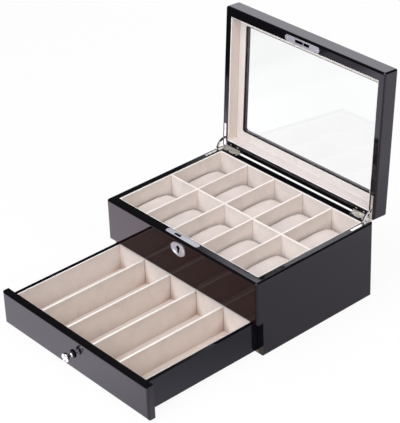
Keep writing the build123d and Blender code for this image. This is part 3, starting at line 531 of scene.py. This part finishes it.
for part in frame["record"]["subparts"]:
    node = nodes[part["node"]]
    node.data.materials.clear()
    node.data.materials.append(MATERIALS[OTHER_LOOKS.get(part["node"], part["material_slot"])])
    if part["node"].startswith(SOFT_PIECES):
        weld = node.modifiers.new("weld", "WELD")
        weld.merge_threshold = WELD
        bevel = node.modifiers.new("bevel", "BEVEL")
        bevel.width = SOFT_EDGE
        bevel.segments = 3
        bevel.limit_method = "ANGLE"
        bevel.angle_limit = radians(50)
        bevel.harden_normals = True


def placed(name, data):
    """A new object in the scene."""
    item = bpy.data.objects.new(name, data)
    scene.collection.objects.link(item)
    return item


def meshed(name, shape):
    """The mesh of a finished shape."""
    mesh = bpy.data.meshes.new(name)
    shape.to_mesh(mesh)
    shape.free()
    return mesh


def evaluated(item):
    """The mesh of an object with its modifiers, or of a curve."""
    depsgraph = bpy.context.evaluated_depsgraph_get()
    return bpy.data.meshes.new_from_object(item.evaluated_get(depsgraph))


# Pillows: one wrap of foam and velvet is swollen by cloth simulation, and each pillow is
# a copy of it with its own small dents and a seam cord round each of its drawn-in ends

WRAP_AROUND, WRAP_ACROSS, WRAP_FULLNESS, WRAP_DRAW, WRAP_VOXEL = 56, 18, 2.9, 0.0016, 0.0026
WRAP_SLACK = Vector((0.0006, 0.0012, 0.0016))
SWELL_FRAMES, SWELL_CAP = 20, 0.0012
SEAM_POINTS, SEAM_INSET, SEAM_RADIUS = 72, 0.0022, 0.00042
DENT_SCALE, DENT_DEPTH = 38, 0.0006


def pillow_wrap(size):
    """A slightly slack closed wrap, crowned both ways and drawn in to its two seamed ends."""
    shape = bmesh.new()
    half = size / 2
    rows = []
    for i in range(WRAP_ACROSS + 1):
        station = -1 + 2 * i / WRAP_ACROSS
        draw = WRAP_DRAW * abs(station) ** 4
        ring = []
        for k in range(WRAP_AROUND):
            along, upward = cos(2 * pi * k / WRAP_AROUND), sin(2 * pi * k / WRAP_AROUND)
            y = (half.y - draw) * copysign(abs(along) ** (2 / WRAP_FULLNESS), along)
            z = (half.z - draw) * copysign(abs(upward) ** (2 / WRAP_FULLNESS), upward)
            ring.append(shape.verts.new((station * half.x, y, z)))
        rows.append(ring)
    for a, b in zip(rows, rows[1:]):
        for k in range(WRAP_AROUND):
            n = (k + 1) % WRAP_AROUND
            shape.faces.new((a[k], b[k], b[n], a[n]))
    shape.faces.new(rows[0])
    shape.faces.new(list(reversed(rows[-1])))
    bmesh.ops.recalc_face_normals(shape, faces=shape.faces)
    return meshed("pillow_wrap", shape)


def blown_up(wrap):
    """The points of the wrap after a short cloth simulation with inside pressure."""
    cloth = wrap.modifiers.new("cloth", "CLOTH")
    cloth.settings.quality = 6
    cloth.settings.mass = 0.25
    cloth.settings.tension_stiffness = 18
    cloth.settings.compression_stiffness = 12
    cloth.settings.bending_stiffness = 0.8
    cloth.settings.use_pressure = True
    cloth.settings.uniform_pressure_force = 4
    cloth.settings.effector_weights.gravity = 0
    for number in range(1, SWELL_FRAMES + 1):
        scene.frame_set(number)
    points = [v.co.copy() for v in evaluated(wrap).vertices]
    scene.frame_set(1)
    wrap.modifiers.clear()
    return points


def swollen(mesh, size):
    """The wrap after its simulation, no point moved further than the cap or out of size."""
    wrap = placed("pillow_wrap", mesh)
    remesh = wrap.modifiers.new("remesh", "REMESH")
    remesh.mode = "VOXEL"
    remesh.voxel_size = WRAP_VOXEL
    skin = evaluated(wrap)
    wrap.modifiers.clear()
    wrap.data = skin
    before = [v.co.copy() for v in skin.vertices]
    after = blown_up(wrap)
    half = size / 2
    for vertex, a, b in zip(skin.vertices, before, after):
        move = b - a
        if move.length > SWELL_CAP:
            move *= SWELL_CAP / move.length
        spot = a + move
        for axis in range(3):
            spot[axis] = max(-half[axis], min(half[axis], spot[axis]))
        vertex.co = spot
    bpy.data.objects.remove(wrap)
    return skin


def cord(points, radius):
    """Closed tube through points, as a mesh."""
    curve = bpy.data.curves.new("cord", "CURVE")
    curve.dimensions = "3D"
    curve.bevel_depth = radius
    curve.bevel_resolution = 2
    spline = curve.splines.new("POLY")
    spline.points.add(len(points) - 1)
    for target, source in zip(spline.points, points):
        target.co = (*source, 1)
    spline.use_cyclic_u = True
    holder = placed("cord", curve)
    tube = evaluated(holder)
    bpy.data.objects.remove(holder)
    return tube


def pillow_body(skin, size):
    """Skin and its two end seams joined in one mesh."""
    shape = bmesh.new()
    shape.from_mesh(skin)
    tree = BVHTree.FromBMesh(shape)
    for side in (-1, 1):
        points = []
        for k in range(SEAM_POINTS):
            angle = 2 * pi * k / SEAM_POINTS
            aim = Vector((side * (size.x / 2 - SEAM_INSET), cos(angle) * size.y, sin(angle) * size.z))
            start = Vector((aim.x, 0, 0))
            spot, normal, *_ = tree.ray_cast(start, (aim - start).normalized())
            if spot is not None:
                points.append(spot)
        shape.from_mesh(cord(points, SEAM_RADIUS))
    return meshed("pillow_body", shape)


low, high = (Vector(c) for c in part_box("pillow_front_1"))
pillow_size = high - low
pillow_mesh = pillow_body(swollen(pillow_wrap(pillow_size - WRAP_SLACK), pillow_size), pillow_size)

for row, turn in (("front", 1), ("rear", -1)):
    for number in range(1, 6):
        node_name = f"pillow_{row}_{number}"
        low, high = (Vector(c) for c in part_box(node_name))
        centre = (low + high) / 2
        mesh = pillow_mesh.copy()
        mesh.name = f"cushion_{row}_{number}"
        side = turn if number % 2 else -turn
        offset = Vector((number * 0.37, 0.21 * number * turn, 0.13 * number))
        for vertex in mesh.vertices:
            spot = Vector((vertex.co.x * side, vertex.co.y * side, vertex.co.z))
            dent = 0.5 + 0.5 * noise.noise(spot * DENT_SCALE + offset)
            vertex.co = centre + spot - spot.normalized() * DENT_DEPTH * dent
        mesh.update()
        for face in mesh.polygons:
            face.use_smooth = True
        mesh.materials.append(MATERIALS["pillow_velvet"])
        cushion = placed(f"cushion_{row}_{number}", mesh)
        finer = cushion.modifiers.new("finer", "SUBSURF")
        finer.levels = finer.render_levels = 1
        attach(cushion, "carcass")
        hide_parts(node_name)


# Turned knob, screws of leaves and plates, pins of the escutcheon

def bend(start, control, stop, steps=10):
    """Points of a smooth bend, the last one left out."""
    points = []
    for i in range(steps):
        t = i / steps
        points.append(tuple(
            a * (1 - t) ** 2 + 2 * c * t * (1 - t) + b * t * t
            for a, c, b in zip(start, control, stop)
        ))
    return points


def lathe(profile, segments=72):
    """A mesh turned about Y from (radius, reach) points, reach towards -Y."""
    shape = bmesh.new()
    rings = []
    for radius, reach in profile:
        ring = []
        for k in range(segments):
            angle = 2 * pi * k / segments
            ring.append(shape.verts.new((radius * cos(angle), -reach, radius * sin(angle))))
        rings.append(ring)
    for a, b in zip(rings, rings[1:]):
        for k in range(segments):
            n = (k + 1) % segments
            shape.faces.new((a[k], a[n], b[n], b[k]))
    shape.faces.new(rings[0])
    shape.faces.new(list(reversed(rings[-1])))
    bmesh.ops.recalc_face_normals(shape, faces=shape.faces)
    for face in shape.faces:
        face.smooth = True
    return meshed("turned", shape)


def fitting(name, mesh, body, slot):
    """An object for a small metal piece that rides with a body."""
    piece = placed(name, mesh)
    mesh.materials.append(MATERIALS[slot])
    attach(piece, body)
    return piece


low, high = (Vector(c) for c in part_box("knob"))
head, reach = (high.x - low.x) / 2, high.y - low.y
ROSE, ROSE_THICK, ROSE_ROUND = 0.0060, 0.0022, 0.0011
WAIST, WAIST_FLARE, WAIST_DRAW = 0.0026, 0.0011, 0.0009
HEAD_THICK, HEAD_ROUND, RIM_BACK, RIM_LOW = 0.0050, 0.0018, 0.0015, 0.0003
RIM_TOP, GROOVE, GROOVE_END, GROOVE_LOW, DOME_START = 0.0010, 0.0015, 0.0020, 0.0014, 0.42
TIP = 0.0001
neck_top = reach - HEAD_THICK
flare = WAIST + WAIST_FLARE
knob_profile = [(ROSE, 0), (ROSE, ROSE_THICK / 2)]
knob_profile += bend(
    (ROSE, ROSE_THICK / 2), (ROSE, ROSE_THICK), (ROSE - ROSE_ROUND, ROSE_THICK), 5
)
knob_profile += [(ROSE - ROSE_ROUND, ROSE_THICK)]
knob_profile += bend(
    (flare, ROSE_THICK), (WAIST - WAIST_DRAW, (ROSE_THICK + neck_top) / 2), (flare, neck_top), 14
)
knob_profile += [(flare, neck_top)]
knob_profile += bend(
    (head - HEAD_ROUND, neck_top), (head, neck_top), (head, neck_top + HEAD_ROUND), 7
)
knob_profile += bend(
    (head, reach - RIM_BACK), (head, reach - RIM_LOW), (head - RIM_TOP, reach - RIM_LOW), 8
)
knob_profile += bend(
    (head - RIM_TOP, reach - RIM_LOW), (head - GROOVE, reach - RIM_LOW),
    (head - GROOVE_END, reach - GROOVE_LOW), 6,
)
knob_profile += bend(
    (head - GROOVE_END, reach - GROOVE_LOW), (head * DOME_START, reach), (TIP, reach), 12
)
knob_mesh = lathe(knob_profile)
knob_mesh.transform(Matrix.Translation(((low.x + high.x) / 2, high.y, (low.z + high.z) / 2)))
turned_knob = fitting("turned_knob", knob_mesh, "drawer", "chrome")
knob_mesh.materials[0] = MATERIALS["knob_metal"]
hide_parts("knob")

SCREW_HEAD, SCREW_CORE, SCREW_SLOT = 0.0021, 0.0011, 0.0005
SCREW_DEPTH = SCREW_HEAD - SCREW_CORE
FIRST_TURN, NEXT_TURN = 35, 47


def slotted_head():
    """A countersunk screw head with its slot along X, the flat face up at the origin."""
    shape = bmesh.new()
    bmesh.ops.create_cone(
        shape, cap_ends=True, segments=40, radius1=SCREW_CORE, radius2=SCREW_HEAD,
        depth=SCREW_DEPTH,
    )
    bmesh.ops.translate(shape, verts=shape.verts, vec=(0, 0, -SCREW_DEPTH / 2))
    solid = placed("screw", meshed("screw", shape))
    shape = bmesh.new()
    bmesh.ops.create_cube(shape, size=1)
    bmesh.ops.scale(shape, verts=shape.verts, vec=(3 * SCREW_HEAD, SCREW_SLOT, SCREW_SLOT * 1.6))
    cutter = placed("slot", meshed("slot", shape))
    cut = solid.modifiers.new("cut", "BOOLEAN")
    cut.operation = "DIFFERENCE"
    cut.object = cutter
    mesh = evaluated(solid)
    bpy.data.objects.remove(solid)
    bpy.data.objects.remove(cutter)
    return mesh


def screw_group(name, places, body, slot):
    """Screw heads in one mesh; each place is a matrix of its face."""
    group = bmesh.new()
    for number, place in enumerate(places):
        head_mesh = slotted.copy()
        turn = Matrix.Rotation(radians(FIRST_TURN + NEXT_TURN * number), 4, "Z")
        head_mesh.transform(place @ turn)
        group.from_mesh(head_mesh)
    return fitting(name, meshed(name, group), body, slot)


SIDE_ARM_INSET, REAR_ARM_INSET, PLATE_INSET, LID_GAP = 0.0028, 0.0060, 0.005, 0.0004
SIDE_ARM_SCREWS, REAR_ARM_SCREWS = (0.0043, 0.0137), (0.0053, 0.0193)

opening = (
    Matrix.Translation(hinge_line)
    @ Matrix.Rotation(-lid_angle, 4, "X")
    @ Matrix.Translation(-hinge_line)
)
slotted = slotted_head()
leaf_places = [(leaf_high.x - SIDE_ARM_INSET, leaf_low.y + y) for y in SIDE_ARM_SCREWS]
leaf_places += [(leaf_low.x + x, hinge_line.y - REAR_ARM_INSET) for x in REAR_ARM_SCREWS]
leaf_places += [(-x, y) for x, y in leaf_places]
lock_x = plate_high.x - PLATE_INSET
striker_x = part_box("striker_plate")[1][0] - PLATE_INSET
rim_z, lid_z = plate_high.z, plate_high.z + LID_GAP
downwards = Matrix.Rotation(pi, 4, "X")


def rim_screws(name, places, slot):
    faces = [Matrix.Translation((x, y, rim_z)) for x, y in places]
    screw_group(name, faces, "carcass", slot)


def lid_screws(name, places, slot):
    faces = [opening @ Matrix.Translation((x, y, lid_z)) @ downwards for x, y in places]
    screw_group(name, faces, "lid", slot)


rim_screws("rim_leaf_screws", leaf_places, "chrome")
rim_screws("rim_plate_screws", [(-lock_x, lock_y), (lock_x, lock_y)], "nickel")
lid_screws("lid_leaf_screws", leaf_places, "chrome")
lid_screws("lid_plate_screws", [(-striker_x, lock_y), (striker_x, lock_y)], "nickel")

PIN, PIN_TOP, PIN_SHANK, PIN_REACH, PIN_INSET, PIN_SINK = 0.0011, 0.0009, 0.0002, 0.0008, 0.0036, 0.0010
BEAD_POINTS, BEAD_INSET, BEAD_SINK, BEAD_RADIUS = 64, 0.0010, 0.0002, 0.0004

oval_low, oval_high = (Vector(c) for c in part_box("escutcheon"))
oval = (oval_high - oval_low) / 2
oval_centre = (oval_low + oval_high) / 2
pin_mesh = lathe(
    [(PIN, 0), (PIN, PIN_SHANK)] + bend((PIN, PIN_SHANK), (PIN_TOP, PIN_REACH), (TIP, PIN_REACH), 6)
)
pins = bmesh.new()
for side in (-1, 1):
    pin = pin_mesh.copy()
    pin.transform(Matrix.Translation((
        side * (oval_high.x - PIN_INSET), oval_high.y - PIN_SINK, (oval_low.z + oval_high.z) / 2
    )))
    pins.from_mesh(pin)
bead = [
    Vector((
        (oval.x - BEAD_INSET) * cos(2 * pi * k / BEAD_POINTS),
        oval_low.y + BEAD_SINK - oval_centre.y,
        (oval.z - BEAD_INSET) * sin(2 * pi * k / BEAD_POINTS),
    )) + oval_centre
    for k in range(BEAD_POINTS)
]
pins.from_mesh(cord(bead, BEAD_RADIUS))
fitting("escutcheon_pins", meshed("escutcheon_pins", pins), "carcass", "nickel")

# Floor, lamps and surroundings

FLOOR_HALF, FLOOR_DROP, FLOOR_GREY = 20, 0.0003, 0.86
FLOOR_SEEN, FLOOR_MIRRORED = 0.93, 0.985
SWEEP_X, SWEEP_Y, SWEEP_START, SWEEP_STOP = 0.75, 0.66, -0.4, 0.6
# The ramp's dip is a painted shadow of the box, seen in its reflections
SWEEP = [(0.0, 0.81), (0.2, 0.81), (0.47, 0.26), (0.7, 0.35), (0.95, 0.58)]
SWEEP_STRENGTH, SWEEP_COLOUR = 2.0, (1, 0.95, 1.05, 1)
FAR_EDGE, NEAR_EDGE = (0.02, 0.45, -0.58, -0.54), (0.0, 0.55, -0.48, -0.42)
# A patch of stronger glow at the front left: painted light for reflections, with no lamp there
GLOW_PATCH_LEFT, GLOW_PATCH_RIGHT = (0.0, 1.0, -0.36, -0.32), (1.0, 0.0, -0.19, -0.15)
GLOW_PATCH_FRONT, GLOW_PATCH_BACK = (0.0, 1.0, -0.29, -0.25), (1.0, 0.0, -0.15, -0.11)
GLOW_PATCH_GAIN = 0.88
SMOOTH = "SMOOTHSTEP"


def floor_glow(stage):
    """How strongly glossy rays see the floor: a glow that dips to the right and back as a painted
    shadow of the box, fades towards the left, and rises in a painted bright patch at the front left.
    """
    x, y, z = stage.split(stage.add("ShaderNodeNewGeometry").outputs["Position"])
    away = stage.math("ADD", stage.math("MULTIPLY", x, SWEEP_X), stage.math("MULTIPLY", y, SWEEP_Y))
    place = stage.span(away, 0.0, 1.0, SWEEP_START, SWEEP_STOP)
    glow = stage.ramp(place, [(position, (level, level, level)) for position, level in SWEEP])
    glow = stage.math("MULTIPLY", glow, SWEEP_STRENGTH)
    edge = stage.math("ADD", stage.span(x, *FAR_EDGE, SMOOTH), stage.span(x, *NEAR_EDGE, SMOOTH))
    glow = stage.math("MULTIPLY", glow, edge)
    glow_patch = stage.span(x, *GLOW_PATCH_LEFT, SMOOTH)
    for value, sides in ((x, GLOW_PATCH_RIGHT), (y, GLOW_PATCH_FRONT), (y, GLOW_PATCH_BACK)):
        glow_patch = stage.math("MULTIPLY", glow_patch, stage.span(value, *sides, SMOOTH))
    gain = stage.math("ADD", 1.0, stage.math("MULTIPLY", glow_patch, GLOW_PATCH_GAIN))
    return stage.math("MULTIPLY", glow, gain)


def stage_floor():
    """White to the camera and behind glass, to glossy rays a glow with a painted shadow and a painted
    bright patch, grey to light.
    """
    mesh = bpy.data.meshes.new("floor")
    square = [(-1, -1), (1, -1), (1, 1), (-1, 1)]
    mesh.from_pydata([(x * FLOOR_HALF, y * FLOOR_HALF, 0) for x, y in square], [], [(0, 1, 2, 3)])
    floor = placed("floor", mesh)
    floor.location = (0, 0, -FLOOR_DROP)
    material = bpy.data.materials.new("floor")
    material.use_nodes = True
    material.node_tree.nodes.clear()
    stage = Nodes(material.node_tree)
    output = stage.add("ShaderNodeOutputMaterial")
    diffuse = stage.add("ShaderNodeBsdfDiffuse", Color=(FLOOR_GREY, FLOOR_GREY, FLOOR_GREY, 1))
    white = stage.add("ShaderNodeEmission", Color=(1, 1, 1, 1), Strength=1.0)
    sheet = stage.add("ShaderNodeEmission", Color=SWEEP_COLOUR)
    stage.link(floor_glow(stage), sheet.inputs["Strength"])
    path = stage.add("ShaderNodeLightPath")
    seen = stage.math("MAXIMUM", path.outputs["Is Camera Ray"], path.outputs["Is Transmission Ray"])
    mirrored = stage.add("ShaderNodeMixShader")
    glossy = stage.math("MULTIPLY", path.outputs["Is Glossy Ray"], FLOOR_MIRRORED)
    stage.link(glossy, mirrored.inputs[0])
    stage.link(diffuse.outputs[0], mirrored.inputs[1])
    stage.link(sheet.outputs[0], mirrored.inputs[2])
    mixed = stage.add("ShaderNodeMixShader")
    stage.link(stage.math("MULTIPLY", seen, FLOOR_SEEN), mixed.inputs[0])
    stage.link(mirrored.outputs[0], mixed.inputs[1])
    stage.link(white.outputs[0], mixed.inputs[2])
    stage.link(mixed.outputs[0], output.inputs["Surface"])
    floor.data.materials.append(material)


FADE_X, FADE_Y, FADE_LEAST = 0.697, 0.717, 0.05


def lamp(name, place, aim, size, power, colour=(1, 1, 1), edge=None):
    """Area lamp; edge = (start, stop) fades it out towards one side."""
    data = bpy.data.lights.new(name, "AREA")
    data.shape = "RECTANGLE"
    data.size, data.size_y = size
    data.energy = power
    data.color = colour
    light = placed(name, data)
    light.location = place
    light.rotation_euler = (Vector(aim) - Vector(place)).to_track_quat("-Z", "Y").to_euler()
    light.visible_camera = False
    if edge:
        data.use_nodes = True
        stage = Nodes(data.node_tree)
        emission = next(n for n in data.node_tree.nodes if n.type == "EMISSION")
        x, y, z = stage.split(stage.add("ShaderNodeNewGeometry").outputs["Position"])
        side = stage.math("ADD", stage.math("MULTIPLY", x, FADE_X), stage.math("MULTIPLY", y, FADE_Y))
        stage.link(stage.span(side, FADE_LEAST, 1.0, *edge, SMOOTH), emission.inputs["Strength"])


stage_floor()
lamp("top", (0.0, -0.35, 2.5), (0, -0.05, 0.1), (2.4, 2.4), 37.5, (1.0, 0.985, 0.955))
lamp("front", (0.2, -2.5, 2.1), (0, -0.05, 0.1), (2.2, 2.2), 70, (0.96, 0.98, 1.0))
lamp("side", (2.5, -0.5, 1.6), (0, 0, 0.1), (1.6, 1.6), 30, (1.0, 0.945, 0.87))
lamp(
    "rear_box", (-0.80, 1.20, 1.00), (0, 0, 0.15), (1.0, 1.2), 6.7, (0.96, 0.94, 1.0),
    (-0.21, 0.02),
)

world = bpy.data.worlds.new("world")
world.use_nodes = True
background = world.node_tree.nodes["Background"]
background.inputs["Color"].default_value = (1, 1, 1, 1)
background.inputs["Strength"].default_value = 0.05
scene.world = world

scene.view_settings.view_transform = "Standard"
